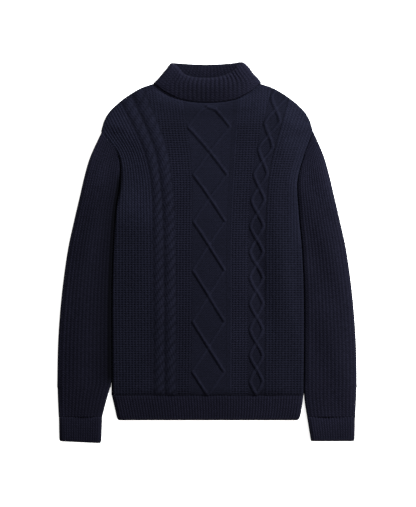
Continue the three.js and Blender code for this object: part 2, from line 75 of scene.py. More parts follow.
def add_node(material, kind, settings=None, links=None):
    """Adds a shader node: settings are its properties and socket values, links its inputs."""
    node = material.node_tree.nodes.new(kind)
    for name, value in (settings or {}).items():
        if hasattr(node, str(name)):
            setattr(node, name, value)
        else:
            node.inputs[name].default_value = value
    for name, source in (links or {}).items():
        material.node_tree.links.new(source, node.inputs[name])
    return node


def new_material(name):
    """A material without any nodes yet."""
    material = bpy.data.materials.new(name)
    material.use_nodes = True
    material.node_tree.nodes.clear()
    return material


def opal_sheet():
    """Matt white plastic with a faint mottle, lit from below."""
    material = new_material("lit_opal_sheet")
    place = add_node(material, "ShaderNodeTexCoord").outputs["Object"]
    mottle = add_node(material, "ShaderNodeTexNoise", {"Scale": 9.0, "Detail": 3.0}, {"Vector": place})
    tone = add_node(material, "ShaderNodeMix",
                    {"data_type": "RGBA", 6: linear("#F4F4F4"), 7: linear("#F9F9F8")},
                    {0: mottle.outputs["Fac"]})
    shader = add_node(material, "ShaderNodeBsdfPrincipled",
                      {"Roughness": 0.9, "Specular IOR Level": 0.2, "Emission Strength": 0.75},
                      {"Base Color": tone.outputs[2], "Emission Color": tone.outputs[2]})
    add_node(material, "ShaderNodeOutputMaterial", None, {"Surface": shader.outputs[0]})
    return material


def new_object(name, bm, material):
    """Turns a bmesh into a smooth shaded object at the origin."""
    mesh = bpy.data.meshes.new(name)
    bm.to_mesh(mesh)
    bm.free()
    mesh.materials.append(material)
    mesh.polygons.foreach_set("use_smooth", [True] * len(mesh.polygons))
    piece = bpy.data.objects.new(name, mesh)
    bpy.context.scene.collection.objects.link(piece)
    return piece


board = bmesh.new()
bmesh.ops.create_grid(board, x_segments=8, y_segments=8, size=3.0)
table_top = new_object("table_top", board, opal_sheet())


# Back
# One knitted panel from the hem rib up to the shoulder and neck seams, plain ribbed wool. It
# lies under the front and rests flat on the table, so only its rim and its inside show.

# Where each stitch zone begins at a height y, and how many ribs the side fields have there
BODY = [
    {"y": -294, "left": -195.5, "rope_left": -110, "rope_mid": -86, "rope_right": -62,
     "centre_left": -34, "centre_right": 40, "lattice_left": 84, "lattice_right": 119,
     "right": 198, "ribs_left": 13.5, "ribs_right": 12.2},
    {"y": -98, "left": -196, "rope_left": -110, "rope_mid": -87, "rope_right": -63,
     "centre_left": -32, "centre_right": 41, "lattice_left": 84, "lattice_right": 120,
     "right": 199, "ribs_left": 13.2, "ribs_right": 12.2},
    {"y": 4, "left": -193, "rope_left": -111, "rope_mid": -88, "rope_right": -64,
     "centre_left": -32, "centre_right": 41, "lattice_left": 84, "lattice_right": 120,
     "right": 195, "ribs_left": 12.8, "ribs_right": 11.7},
    {"y": 84, "left": -188, "rope_left": -112, "rope_mid": -90, "rope_right": -66,
     "centre_left": -31, "centre_right": 43, "lattice_left": 86, "lattice_right": 122,
     "right": 188, "ribs_left": 12.1, "ribs_right": 10.9},
    {"y": 148, "left": -179, "rope_left": -116, "rope_mid": -96, "rope_right": -71,
     "centre_left": -31, "centre_right": 46, "lattice_left": 91, "lattice_right": 127,
     "right": 186, "ribs_left": 10.9, "ribs_right": 10.4},
    {"y": 200, "left": -184, "rope_left": -128, "rope_mid": -104, "rope_right": -79,
     "centre_left": -35, "centre_right": 49, "lattice_left": 99, "lattice_right": 136,
     "right": 201, "ribs_left": 10.6, "ribs_right": 10.3},
    {"y": 247, "left": -216, "rope_left": -147, "rope_mid": -121, "rope_right": -93,
     "centre_left": -41, "centre_right": 52, "lattice_left": 110, "lattice_right": 149,
     "right": 218, "ribs_left": 10.5, "ribs_right": 10.2},
    {"y": 290, "left": -236, "rope_left": -169, "rope_mid": -140, "rope_right": -110,
     "centre_left": -46, "centre_right": 55, "lattice_left": 121, "lattice_right": 161,
     "right": 236, "ribs_left": 10.5, "ribs_right": 10.2},
    {"y": 345, "left": -262, "rope_left": -197, "rope_mid": -166, "rope_right": -134,
     "centre_left": -53, "centre_right": 59, "lattice_left": 135, "lattice_right": 177,
     "right": 262, "ribs_left": 10.5, "ribs_right": 10.2},
]
SHOULDER = [
    {"x": 104, "y": 346.5}, {"x": 112, "y": 344}, {"x": 135, "y": 336}, {"x": 163, "y": 320},
    {"x": 186, "y": 302}, {"x": 202, "y": 285}, {"x": 212, "y": 266}, {"x": 217, "y": 247},
]
HEM_SEAM = -294
SHOULDER_TIP, TIP_HALF = 247, 217
NECK_HALF, NECK_DIP, NECK_TOP = 104, 14, 346.5
WALL = 3.0                    # thickness of the knitted cloth
GAP = 0.3                     # kept between two pieces
COURSE = 4.8                  # height of a row of stitches
COLLAR_HEIGHT = 350           # y of the collar's middle
LIFT_OVAL = (128, 52)         # half width and half height of where the collar lifts the cloth
COVER_OVAL = (111, 43)        # and of where it hides the front


def read(rows, key, column, value):
    """A column of a table at values of its key, on a smooth curve through the rows."""
    at = np.array([row[key] for row in rows], float)
    of = np.array([row[column] for row in rows], float)
    before, after = np.r_[0, 0:len(at) - 1], np.r_[1:len(at), len(at) - 1]
    slope = (of[after] - of[before]) / (at[after] - at[before])
    value = np.clip(value, at[0], at[-1])
    i = np.clip(np.searchsorted(at, value) - 1, 0, len(at) - 2)
    span = at[i + 1] - at[i]
    t = (value - at[i]) / span
    return ((2 * t**3 - 3 * t**2 + 1) * of[i] + (t**3 - 2 * t**2 + t) * slope[i] * span
            + (3 * t**2 - 2 * t**3) * of[i + 1] + (t**3 - t**2) * slope[i + 1] * span)


def smooth(t):
    """A soft step. smooth((y - start) / reach) rises from 0 at start to 1 at start + reach."""
    t = np.clip(t, 0, 1)
    return t * t * (3 - 2 * t)


def oval_reach(oval, x, y):
    """How far out a point lies from the collar's middle, 1 on the oval itself."""
    return np.hypot(x / oval[0], (y - COLLAR_HEIGHT) / oval[1])


def neck_lift(x, y):
    """Lift of the body's cloth over the collar's rear fold."""
    return (WALL + GAP) * (1 - smooth((oval_reach(LIFT_OVAL, x, y) - 1) / 0.5))


def top_edge(x):
    """The shoulder seam, or the neck line, above any X."""
    across = np.abs(x)
    neck = NECK_TOP - NECK_DIP * np.cos(np.pi / 2 * np.minimum(across / NECK_HALF, 1)) ** 0.8
    return np.where(across < NECK_HALF, neck, read(SHOULDER, "x", "y", across))


def panel_grid(places, heights):
    """A bmesh grid of cloth laid out by two arrays, columns by rows, in millimetres, cut
    off at the panel's side and top edges. Returns it with each point's column and row."""
    columns, rows = places.shape
    bm = bmesh.new()
    bmesh.ops.create_grid(bm, x_segments=columns - 1, y_segments=rows - 1, size=0.5)
    below_tip = heights < SHOULDER_TIP
    left = np.where(below_tip, read(BODY, "y", "left", heights), -TIP_HALF)
    right = np.where(below_tip, read(BODY, "y", "right", heights), TIP_HALF)
    x = np.clip(places, left, right)
    y = np.minimum(heights, top_edge(x))
    outside = (np.abs(x - places) > 1e-6) | (heights - y > 1e-6)
    column = bm.verts.layers.int.new("column")
    row = bm.verts.layers.int.new("row")
    for vert in bm.verts:
        i = round((vert.co.x + 0.5) * (columns - 1))
        j = round((vert.co.y + 0.5) * (rows - 1))
        vert[column], vert[row] = i, j
        vert.co = (x[i, j] * MM, y[i, j] * MM, 0)
        vert.tag = bool(outside[i, j])
    waste = [face for face in bm.faces if all(vert.tag for vert in face.verts)]
    bmesh.ops.delete(bm, geom=waste, context="FACES")
    bmesh.ops.remove_doubles(bm, verts=bm.verts, dist=0.25 * MM)
    return bm, column, row


RIB = 6.4                     # pitch of the body's ribs


def knit_wool(name, shaded_trough_colour, crest_colour):
    """Combed wool, knitted: the point attribute knit gives the wale, the course and the painted
    light of a point, from 0 in painted shade down between two ribs to 1 on a crest. Each wale
    is a column of V shaped stitches, with a nap of loose fibres. The attribute drawn says how
    deep the gaps between the rows are drawn in and darkened with painted shade, and a piece
    without it has none."""
    material = new_material(name)
    knit = add_node(material, "ShaderNodeAttribute", {"attribute_name": "knit"}).outputs["Vector"]
    part = add_node(material, "ShaderNodeSeparateXYZ", None, {"Vector": knit})
    leg = add_node(material, "ShaderNodeMath", {"operation": "PINGPONG", 1: 0.5}, {0: part.outputs["X"]})
    turn = add_node(material, "ShaderNodeMath", {"operation": "MULTIPLY_ADD", 1: -1.1},
                    {0: leg.outputs[0], 2: part.outputs["Y"]})
    angle = add_node(material, "ShaderNodeMath", {"operation": "MULTIPLY", 1: 2 * math.pi},
                     {0: turn.outputs[0]})
    wave = add_node(material, "ShaderNodeMath", {"operation": "COSINE"}, {0: angle.outputs[0]})
    place = add_node(material, "ShaderNodeTexCoord").outputs["Object"]
    # Fibres are far finer than this, which is as coarse as the render can show
    nap = add_node(material, "ShaderNodeTexNoise", {"Scale": 700.0, "Detail": 4.0, "Roughness": 0.7},
                   {"Vector": place})
    # Uneven yarn, at the size of one stitch, and soft patches where it has felted
    yarn = add_node(material, "ShaderNodeTexNoise", {"Scale": 250.0, "Detail": 1.0}, {"Vector": place})
    patch = add_node(material, "ShaderNodeTexNoise", {"Scale": 16.0, "Detail": 3.0}, {"Vector": place})
    # The gaps between the rows, bumped in and darkened with painted shade
    row_angle = add_node(material, "ShaderNodeMath", {"operation": "MULTIPLY", 1: 2 * math.pi},
                         {0: part.outputs["Y"]})
    row_wave = add_node(material, "ShaderNodeMath", {"operation": "COSINE"}, {0: row_angle.outputs[0]})
    gap = add_node(material, "ShaderNodeMath",
                   {"operation": "MULTIPLY_ADD", "use_clamp": True, 1: -0.9, 2: 0.5},
                   {0: row_wave.outputs[0]})
    drawn = add_node(material, "ShaderNodeAttribute", {"attribute_name": "drawn"}).outputs["Fac"]
    deep = add_node(material, "ShaderNodeMath", {"operation": "MULTIPLY"}, {0: gap.outputs[0], 1: drawn})
    nubs = add_node(material, "ShaderNodeMath", {"operation": "MULTIPLY_ADD", 1: 0.35},
                    {0: wave.outputs[0], 2: nap.outputs["Fac"]})
    relief = add_node(material, "ShaderNodeMath", {"operation": "MULTIPLY_ADD", 1: -1.0},
                      {0: deep.outputs[0], 2: nubs.outputs[0]})
    bump = add_node(material, "ShaderNodeBump", {"Strength": 0.55, "Distance": 1.0 * MM},
                    {"Height": relief.outputs[0]})
    stitch = add_node(material, "ShaderNodeMath", {"operation": "MULTIPLY_ADD", 1: 0.08, 2: 0.07},
                      {0: wave.outputs[0]})
    uneven = add_node(material, "ShaderNodeMath", {"operation": "MULTIPLY_ADD", 1: 0.75},
                      {0: yarn.outputs["Fac"], 2: stitch.outputs[0]})
    fibre = add_node(material, "ShaderNodeMath", {"operation": "MULTIPLY_ADD", 1: 0.4},
                     {0: nap.outputs["Fac"], 2: uneven.outputs[0]})
    felted = add_node(material, "ShaderNodeMath", {"operation": "MULTIPLY_ADD", 1: 0.3},
                      {0: patch.outputs["Fac"], 2: fibre.outputs[0]})
    # Painted shade in the row gaps and the painted light in knit set the mix of the trough and crest
    # colours
    bare = add_node(material, "ShaderNodeMath", {"operation": "SUBTRACT", 0: 1.0}, {1: deep.outputs[0]})
    lit = add_node(material, "ShaderNodeMath", {"operation": "MULTIPLY"},
                   {0: bare.outputs[0], 1: part.outputs["Z"]})
    light = add_node(material, "ShaderNodeMath", {"operation": "MULTIPLY"},
                     {0: felted.outputs[0], 1: lit.outputs[0]})
    tone = add_node(material, "ShaderNodeMix", {"data_type": "RGBA", "clamp_factor": True,
                                                6: linear(shaded_trough_colour), 7: linear(crest_colour)},
                    {0: light.outputs[0]})
    shader = add_node(material, "ShaderNodeBsdfPrincipled",
                      {"Roughness": 0.95, "Specular IOR Level": 0.03, "Sheen Weight": 0.01,
                       "Sheen Roughness": 0.45, "Sheen Tint": linear("#9093B4")},
                      {"Base Color": tone.outputs[2], "Normal": bump.outputs[0]})
    add_node(material, "ShaderNodeOutputMaterial", None, {"Surface": shader.outputs[0]})
    return material


# The trough colour is the wool in painted shade, down between ribs and rows
SHADED_TROUGH, CREST, RIB_CREST = "#010103", "#151622", "#151521"


def write_knit(piece, wale, course, painted_light):
    """Stores each point's wale, course and painted light on the mesh, for the wool."""
    layer = piece.data.attributes.new("knit", "FLOAT_VECTOR", "POINT")
    layer.data.foreach_set("vector", np.stack([wale, course, painted_light], axis=1).astype(np.float32).ravel())


def points_of(piece):
    """The mesh's points in millimetres, as columns x, y and z."""
    flat = np.empty(len(piece.data.vertices) * 3)
    piece.data.vertices.foreach_get("co", flat)
    return (flat.reshape(-1, 3) / MM).T


def close_under(bm, steps):
    """Turns a sheet's rim under, in steps of how far down and how far out, then fills it in."""
    for down, out in steps:
        rim = [edge for edge in bm.edges if edge.is_boundary]
        made = bmesh.ops.extrude_edge_only(bm, edges=rim)["geom"]
        verts = [item for item in made if isinstance(item, bmesh.types.BMVert)]
        for vert in verts:
            vert.co.z -= down * MM
            vert.co.x += math.copysign(out * MM, vert.co.x)
    rim = [edge for edge in bm.edges if edge.is_boundary]
    bmesh.ops.triangle_fill(bm, edges=rim, use_beauty=False, use_dissolve=False)
    bmesh.ops.recalc_face_normals(bm, faces=bm.faces)


BACK_COLUMNS, BACK_ROW = 71, 6.0


def build_back():
    """The rear panel, closed underneath."""
    share = np.linspace(0, 1, BACK_COLUMNS)[:, None]
    rows = np.append(np.arange(HEM_SEAM, NECK_TOP, BACK_ROW), NECK_TOP + 1.0)[None, :]
    heights = np.repeat(rows, len(share), axis=0)
    places = read(BODY, "y", "left", rows) * (1 - share) + read(BODY, "y", "right", rows) * share
    bm = panel_grid(places, heights)[0]
    for vert in bm.verts:
        x, y = vert.co.x / MM, vert.co.y / MM
        vert.co.z = (WALL + float(neck_lift(x, y))) * MM
    # The selvedges spread a little where the side seams press on the table
    close_under(bm, [(WALL / 2, 0), (WALL / 2 - 0.2, 0.8), (0.2, 0)])
    return new_object("back_panel", bm, knit_wool("plain_rib_wool", SHADED_TROUGH, CREST))


back_panel = build_back()
x, y, z = points_of(back_panel)
write_knit(back_panel, x / RIB, y / COURSE, np.full(len(x), 0.5))
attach(back_panel, "root")
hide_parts("back")


# Front
# The second panel, in the same wool but knitted with the cables: ribs at the sides, a
# double rope, two waffle ribs, large diamonds and a lattice of small ones. It lies on the
# back, each stitch zone laid out on a grid of columns and rows, and dips softly.
FRONT_FLOOR = WALL + GAP
FRONT_CROWN = 5.0             # how far its middle stands above its sides
RIB_RISE = 1.25
SIDE_RIBS = 14                # at most, in either field of ribs
ROPE_PITCH, ROPE_LEAN, ROPE_RISE = 19.5, 28, 2.1
ROPE_POINTS, ROPE_WALES = 14, 3
GROUND_WALE = 3.4             # pitch of the plain ground's stitches
FAINT_ROWS = 0.1              # how deep the rows are drawn in there and on the ropes
GROUND_RISE = 0.2
WAFFLE_RIB, WAFFLE_RISE = 6.2, 0.9
POINTS_PER_RIB = 4
ROWS_PER_COURSE = 2
# Heights at which the two strands of a column of diamonds cross
BIG_CROSSINGS = [
    {"y": -295, "crossing": 0}, {"y": -195, "crossing": 1}, {"y": -90, "crossing": 2},
    {"y": 14, "crossing": 3}, {"y": 111, "crossing": 4}, {"y": 205, "crossing": 5},
    {"y": 256, "crossing": 5.5}, {"y": 292, "crossing": 5.86}, {"y": 297, "crossing": 6},
    {"y": 385, "crossing": 7},
]
BIG_TOP = 298                 # the large diamonds end here, below the collar
SMALL_CROSSINGS = [{"y": -292, "crossing": 0}, {"y": 372, "crossing": 12.5}]
SMALL_TOP = 400               # the small ones run on past the shoulder
# Soft troughs and ridges as the front lies: place, reach each way, height and turn
FRONT_FOLDS = [
    {"x": 109, "y": -65, "width": 20, "length": 125, "rise": -3.1, "turn": 11},
    {"x": 166, "y": -80, "width": 19, "length": 170, "rise": 2.2, "turn": 9},
    {"x": -168, "y": 110, "width": 18, "length": 70, "rise": 1.4, "turn": 4},
    {"x": 158, "y": 190, "width": 20, "length": 70, "rise": 1.8, "turn": -8},
    {"x": -70, "y": 140, "width": 40, "length": 120, "rise": 1.0, "turn": 0},
    {"x": 20, "y": -60, "width": 60, "length": 150, "rise": 1.2, "turn": 0},
    {"x": -128, "y": -190, "width": 40, "length": 110, "rise": -3.0, "turn": 0},
    {"x": 90, "y": 260, "width": 50, "length": 40, "rise": 1.0, "turn": 30},
]


def soft_folds(folds, x, y):
    """Height of a table of folds, each a long soft mound or hollow."""
    rise = np.zeros_like(x)
    for fold in folds:
        turn = math.radians(fold["turn"])
        right, up = x - fold["x"], y - fold["y"]
        across = (right * math.cos(turn) + up * math.sin(turn)) / fold["width"]
        along = (up * math.cos(turn) - right * math.sin(turn)) / fold["length"]
        rise += fold["rise"] * np.exp(-across**2 - along**2)
    return rise


def rib_crest(wale):
    """1 along the crest of each rib, 0 down between two."""
    return 1 - (0.5 + 0.5 * np.cos(2 * np.pi * wale)) ** 2


def stitch_bar(height, depth):
    """1 on each row of stitches and less between two rows."""
    return 1 - depth * (0.5 - 0.5 * np.cos(2 * np.pi * height / COURSE))


def painted_lightness(crest, across, height=0, along=0):
    """The painted light of a stitch, for the wool, with painted shade between ribs and rows:
    across and along are how dark it is between two ribs and between two rows."""
    return np.clip(stitch_bar(height, along) - across * (1 - crest), 0.05, 1)


def between(left, right, rows, points):
    """Columns of points across a zone: their shares of its width and their places."""
    share = (np.arange(points)[:, None] + 0.5) / points
    low, high = read(BODY, "y", left, rows), read(BODY, "y", right, rows)
    return share + np.zeros_like(rows), low + share * (high - low)


def low_down(rows):
    """1 low on the body, where some columns are painted darker or lighter, and 0 higher up."""
    return smooth((-110 - rows) / 50)


# Each of the next four returns one zone's stitches as columns by rows: where they are
# across the body, how high they stand, how light they are painted, which wale they belong to
# and how deep the gaps between their rows are drawn in


def side_ribs(start, edge, count, rows):
    """Ribs from the edge of the cables out to the side seam."""
    wales = np.arange(1, POINTS_PER_RIB * SIDE_RIBS + 1)[:, None] / POINTS_PER_RIB + np.zeros_like(rows)
    inner, outer = read(BODY, "y", start, rows), read(BODY, "y", edge, rows)
    places = inner + wales * (outer - inner) / read(BODY, "y", count, rows)
    crest = rib_crest(wales)
    share = wales / read(BODY, "y", count, rows)
    # The rows draw in from the hem to the armhole on the left. On the right they draw in up
    # to the shoulder, but not beside the armhole.
    if edge == "left":
        drawn_top, plain = 90, 0
        # Painted shade: darker low down and beside the armhole
        by_armhole = np.exp(-((rows - 145) / 35)**2) * smooth((share - 0.35) / 0.3)
        painted_shade = 0.98 - 0.06 * low_down(rows) - 0.12 * by_armhole
    else:
        drawn_top = 250
        plain = smooth((share - 0.62) / 0.2) * smooth((rows + 20) / 60)
        # Painted light and shade: lighter higher up, darker again by the shoulder
        painted_shade = 0.88 + 0.14 * smooth((rows - 110) / 50) - 0.1 * smooth((rows - 225) / 25)
    drawn = (0.08 + 0.5 * smooth((drawn_top - rows) / 60)) * (1 - 0.85 * plain) + 0 * places
    stand = RIB_RISE * crest * stitch_bar(rows, 0.4)
    return places, stand, painted_lightness(crest, 0.2) * painted_shade, wales, drawn


def rope(left, right, rows):
    """Two strands twisted together, a little unevenly, each turn leaning up to the right."""
    share, places = between(left, right, rows, ROPE_POINTS)
    turns = ((rows - ROPE_LEAN * (share - 0.5)) / ROPE_PITCH
             + 0.07 * np.sin(rows / 23) + 0.05 * np.sin(rows / 9.1))
    dome = np.sin(np.pi * share) ** 0.75
    groove = (0.5 + 0.5 * np.cos(2 * np.pi * turns)) ** 3 * (1 - 0.35 * smooth((rows - 100) / 100))
    stand = ROPE_RISE * dome * (1 - 0.5 * groove) * stitch_bar(rows, 0.06)
    # Painted shade in the twist's grooves and towards its sides, darker low down
    painted_light = (0.93 - 0.08 * low_down(rows)) * painted_lightness(dome ** 0.5 * (1 - 0.7 * groove), 0.65)
    return places, stand, painted_light, turns * ROPE_WALES, np.full_like(places, FAINT_ROWS)


def waffle(left, right, rows, points, border):
    """Narrow ribs crossed by deep rows. They keep their pitch from the centre panel's edge
    on, past a plain border, so there are more of them where the cables spread apart."""
    places = between(left, right, rows, points)[1]
    low, high = read(BODY, "y", left, rows), read(BODY, "y", right, rows)
    away = high - places if right == "centre_left" else places - low
    wales = (away - border) / WAFFLE_RIB
    crest = rib_crest(wales)
    plain = away < border
    # One wale stands up where the plain border ends
    edge_wale = np.exp(-((away - border + 2.4) / 1.2)**2) * plain
    stand = np.where(plain, GROUND_RISE * stitch_bar(rows, 1) + 0.6 * edge_wale,
                     WAFFLE_RISE * crest * stitch_bar(rows, 0.6))
    # Painted shade between the ribs, deeper higher up
    ribbed = painted_lightness(crest, 0.12 + 0.25 * smooth((rows - 190) / 60))
    # Painted light and shade: the standing wale lighter, and low down the one on the right lighter, the
    # one on the left darker
    lighter = 0.07 if border else -0.1
    painted_light = np.where(plain, 0.64 + 0.2 * edge_wale, ribbed) * (1 + lighter * low_down(rows))
    drawn = np.where(plain, FAINT_ROWS, 0.15 + 0.53 * smooth((305 - rows) / 60))
    return places, stand, painted_light, np.where(plain, places / GROUND_WALE, wales), drawn


def strands(left, right, rows, points, crossings, top, half, rise, under, curve, ground, foot_shade):
    """A plain ground crossed by two strands that zigzag up to a top. The one that runs down
    to the right passes over the other, which stands only the share under as high. half is
    a strand's half width, rise its height, curve how round its turns are, pinch how dark the
    painted shade beside it is, and ground how light the plain stitches are painted."""
    share, places = between(left, right, rows, points)
    low, high = read(BODY, "y", left, rows), read(BODY, "y", right, rows)
    middle, reach = (low + high) / 2, (high - low) / 2 - half - 1
    turn = read(crossings, "y", "crossing", rows) / 2
    phase = turn - np.floor(turn)
    swing = np.where(phase < 0.25, 4 * phase, np.where(phase < 0.75, 2 - 4 * phase, 4 * phase - 4))
    swing = swing + curve * (np.sin(2 * np.pi * phase) - swing)
    falling = np.abs(phase - 0.5) < 0.25
    slope = np.abs(np.gradient(swing[0] * reach[0], rows[0]))
    steep = 1 / np.sqrt(1 + slope**2)
    knitted = 1 - smooth((rows - top) / 4)
    height = GROUND_RISE * stitch_bar(rows, 1) * (0.5 + 0.5 * np.cos(2 * np.pi * places / GROUND_WALE))
    # Painted light: the higher stitches lighter, and more so higher up the panel
    painted_light = ground + 0.08 * smooth((rows - 30) / 90) + 0.5 * height + np.zeros_like(places)
    for side in (1, -1):
        distance = np.abs(places - middle - side * swing * reach) * steep / half
        over = falling if side == 1 else ~falling
        crossing = np.exp(-(swing * reach / (1.6 * half))**2)
        profile = np.sqrt(np.clip(1 - distance**2, 0, 1)) ** 0.8 * knitted
        strand = rise * profile * np.where(over, 1, under * (1 - 0.7 * crossing))
        # Painted shade along the strand's foot, more beside the strand on top; the strand itself is
        # painted lighter
        crease = np.exp(-((distance - 1.15) / 0.22)**2) * np.where(over, foot_shade, 0.6 * foot_shade * under)
        crease = crease * knitted
        painted_light = np.where(distance < 1, np.maximum(painted_light, 0.9 * profile), painted_light * (1 - crease))
        height = np.maximum(height, strand)
    # Painted shade along the zone's edges
    edge = np.minimum(share, 1 - share) * (high - low)
    painted_light = painted_light * (1 - 0.5 * np.exp(-(edge / 1.2)**2))
    return places, height, painted_light, places / GROUND_WALE, np.full_like(places, FAINT_ROWS)


def fall_off(distance, radius, depth):
    """How far cloth has rolled down at a distance in from its folded edge."""
    share = np.clip(1 - distance / radius, 0, 1)
    return depth * (1 - np.sqrt(np.clip(1 - share**2, 0, 1)))


def front_base(x, y):
    """The front's height without its stitches, how much of them shows, and its painted shade
    where it is pressed against a sleeve."""
    # From the tips of the shoulders up the sides end, and only the top edge counts
    above_tip = 80 * smooth((y - 238) / 50)
    left = x - read(BODY, "y", "left", y) + above_tip
    right = read(BODY, "y", "right", y) - x + above_tip
    from_top = top_edge(x) - y
    crown = FRONT_CROWN * smooth(left / 70) * smooth(right / 58)
    crown = crown * smooth((y + 310) / 30) * smooth(from_top / 60)
    sewn = 1 - 0.9 * smooth((y - 190) / 25)
    roll = (fall_off(left, 9, WALL) + fall_off(right, 7, WALL)) * sewn
    roll = roll + fall_off(from_top, 5, WALL * 0.4)
    seam = 0.7 * np.exp(-((y - HEM_SEAM) / 2.0)**2)
    show = smooth((oval_reach(COVER_OVAL, x, y) - 1) / 0.08)
    soft = (crown + soft_folds(FRONT_FOLDS, x, y)) * show
    base = FRONT_FLOOR + neck_lift(x, y) + WALL + soft - np.minimum(roll, WALL) - seam
    edge = np.minimum(np.minimum(left, right), from_top)
    # Painted shade beside the sleeves below the armholes: a dark line along the left edge, widest near
    # the armhole, and a fainter one along the right that is darker low down
    pressed = 0.95 * smooth((218 - y) / 15)
    left_reach = 4 + 5 * np.exp(-((y - 140) / 45)**2)
    left_shade = 1 - pressed * (1 - smooth((left - 0.5) / left_reach))
    less = 0.7 - 0.3 * smooth((y + 40) / 60)
    shade = left_shade * (1 - less * pressed * (1 - smooth(right / 2)))
    return base, show * smooth(edge / 3) * (0.25 + 0.75 * smooth((y - HEM_SEAM) / 4)), shade


def build_front():
    """The front panel: all zones side by side on one grid, closed underneath."""
    rows = np.arange(HEM_SEAM, NECK_TOP + 1, COURSE / ROWS_PER_COURSE)
    rows = np.append(rows, NECK_TOP + 1.0)[None, :]
    upper = smooth((rows - 20) / 80)
    zones = [
        [part[::-1] for part in side_ribs("rope_left", "left", "ribs_left", rows)],
        rope("rope_left", "rope_mid", rows), rope("rope_mid", "rope_right", rows),
        waffle("rope_right", "centre_left", rows, points=40, border=0),
        strands("centre_left", "centre_right", rows, points=48, crossings=BIG_CROSSINGS,
                top=BIG_TOP, half=3.3, rise=1.9, under=0.3 + 0.2 * upper, curve=0,
                ground=0.62, foot_shade=0.65),
        waffle("centre_right", "lattice_left", rows, points=44, border=10),
        strands("lattice_left", "lattice_right", rows, points=26, crossings=SMALL_CROSSINGS,
                top=SMALL_TOP, half=3.7, rise=1.8, under=0.8 + 0.15 * upper, curve=0.45,
                ground=0.54, foot_shade=0.45),
        side_ribs("lattice_right", "right", "ribs_right", rows),
    ]
    places, relief, painted_light, wales, gaps = (np.concatenate([zone[k] for zone in zones]) for k in range(5))
    bm, column, row = panel_grid(places, np.repeat(rows, len(places), axis=0))
    at = np.array([(vert[column], vert[row], vert.co.x / MM, vert.co.y / MM) for vert in bm.verts])
    i, j = at[:, 0].astype(int), at[:, 1].astype(int)
    x, y = at[:, 2], at[:, 3]
    base, show, shade = front_base(x, y)
    levels = base + relief[i, j] * show
    knit = bm.verts.layers.float_vector.new("knit")
    drawn = bm.verts.layers.float.new("drawn")
    stitches = zip(bm.verts, levels, wales[i, j], y, painted_light[i, j] * shade, gaps[i, j] * show)
    for vert, level, wale, up, painted_share, row_gap in stitches:
        vert.co.z = level * MM
        vert[knit] = (wale, up / COURSE, painted_share)
        vert[drawn] = row_gap
    # Its rim goes down to just above the back
    rim = [edge for edge in bm.edges if edge.is_boundary]
    for vert in bmesh.ops.extrude_edge_only(bm, edges=rim)["geom"]:
        if isinstance(vert, bmesh.types.BMVert):
            vert.co.z = (FRONT_FLOOR - 0.2 + float(neck_lift(vert.co.x / MM, vert.co.y / MM))) * MM
    close_under(bm, [])
    return new_object("front_panel", bm, knit_wool("cabled_wool", SHADED_TROUGH, CREST))


front_panel = build_front()
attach(front_panel, "root")
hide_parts("front")


# Hem band
# A fine rib knitted on below both panels: a flattened tube, open below, that draws in
# towards its cast-off edge.
HEM = [
    {"y": -345, "left": -181.5, "right": 186}, {"y": -341, "left": -184.5, "right": 190},
    {"y": -324, "left": -188.6, "right": 194}, {"y": -294, "left": -195.5, "right": 198},
]
FINE_RIB_RISE = 0.9
HEM_RIBS, HEM_CROWN = 68, 2.6
TUBE_HIGH = 2 * WALL + GAP
UNDER_POINTS = 14             # across a tube's underside


def tube_shares(ribs):
    """Shares of a tube's width at its points: over the top, then back along underneath."""
    return np.r_[np.linspace(0, 1, ribs * POINTS_PER_RIB + 1), np.linspace(1, 0, UNDER_POINTS + 1)[1:]]


def knit_tube(name, plan, ribs, rise, depth, shade, wool, crown, bight=10):
    """A flattened tube of ribbed cloth, laid on the table, its ends open. plan has each
    point's place, round the tube by along it; rise is the ribs' height, depth how dark the
    painted shade between them is, shade the painted light and shade of each part, crown the
    soft height of the top and bight how far in from its folded edges the top rounds down."""
    around, along = plan.shape[:2]
    share = tube_shares(ribs)[:, None] + np.zeros(along)
    width = np.hypot(*(plan[ribs * POINTS_PER_RIB] - plan[0]).T)
    edge = np.minimum(share, 1 - share) * width
    middle = plan[ribs * POINTS_PER_RIB // 2]
    course = (np.r_[0, np.cumsum(np.hypot(*np.diff(middle, axis=0).T))] / COURSE)[None, :]
    bend = np.sqrt(np.clip(1 - np.clip(1 - edge / bight, 0, 1) ** 2, 0, 1))
    crest = rib_crest(share * ribs)
    high = TUBE_HIGH / 2 + (TUBE_HIGH / 2 + crown) * bend
    high = high + rise * crest * stitch_bar(course * COURSE, 0.2) * bend
    low = TUBE_HIGH / 2 * (1 - np.sqrt(np.clip(1 - np.clip(1 - edge / 3, 0, 1) ** 2, 0, 1)))
    on_top = np.arange(around)[:, None] <= ribs * POINTS_PER_RIB
    z = np.where(on_top, high, low)
    painted_light = painted_lightness(crest, depth, course * COURSE, 0.1) * shade
    bm = bmesh.new()
    bmesh.ops.create_grid(bm, x_segments=around - 1, y_segments=along - 1, size=0.5)
    knit = bm.verts.layers.float_vector.new("knit")
    for vert in bm.verts:
        i = round((vert.co.x + 0.5) * (around - 1))
        j = round((vert.co.y + 0.5) * (along - 1))
        vert.co = (plan[i, j, 0] * MM, plan[i, j, 1] * MM, z[i, j] * MM)
        vert[knit] = (share[i, j] * ribs, course[0, j], painted_light[i, j])
    bmesh.ops.remove_doubles(bm, verts=bm.verts, dist=0.01 * MM)
    bmesh.ops.recalc_face_normals(bm, faces=bm.faces)
    piece = new_object(name, bm, wool)
    wall = piece.modifiers.new("wall", "SOLIDIFY")
    wall.thickness, wall.offset = WALL * MM, -1
    return piece


def straight_plan(left, right, ribs):
    """Places round a tube whose rows run straight from its left edge to its right one."""
    share = tube_shares(ribs)[:, None, None]
    return left * (1 - share) + right * share


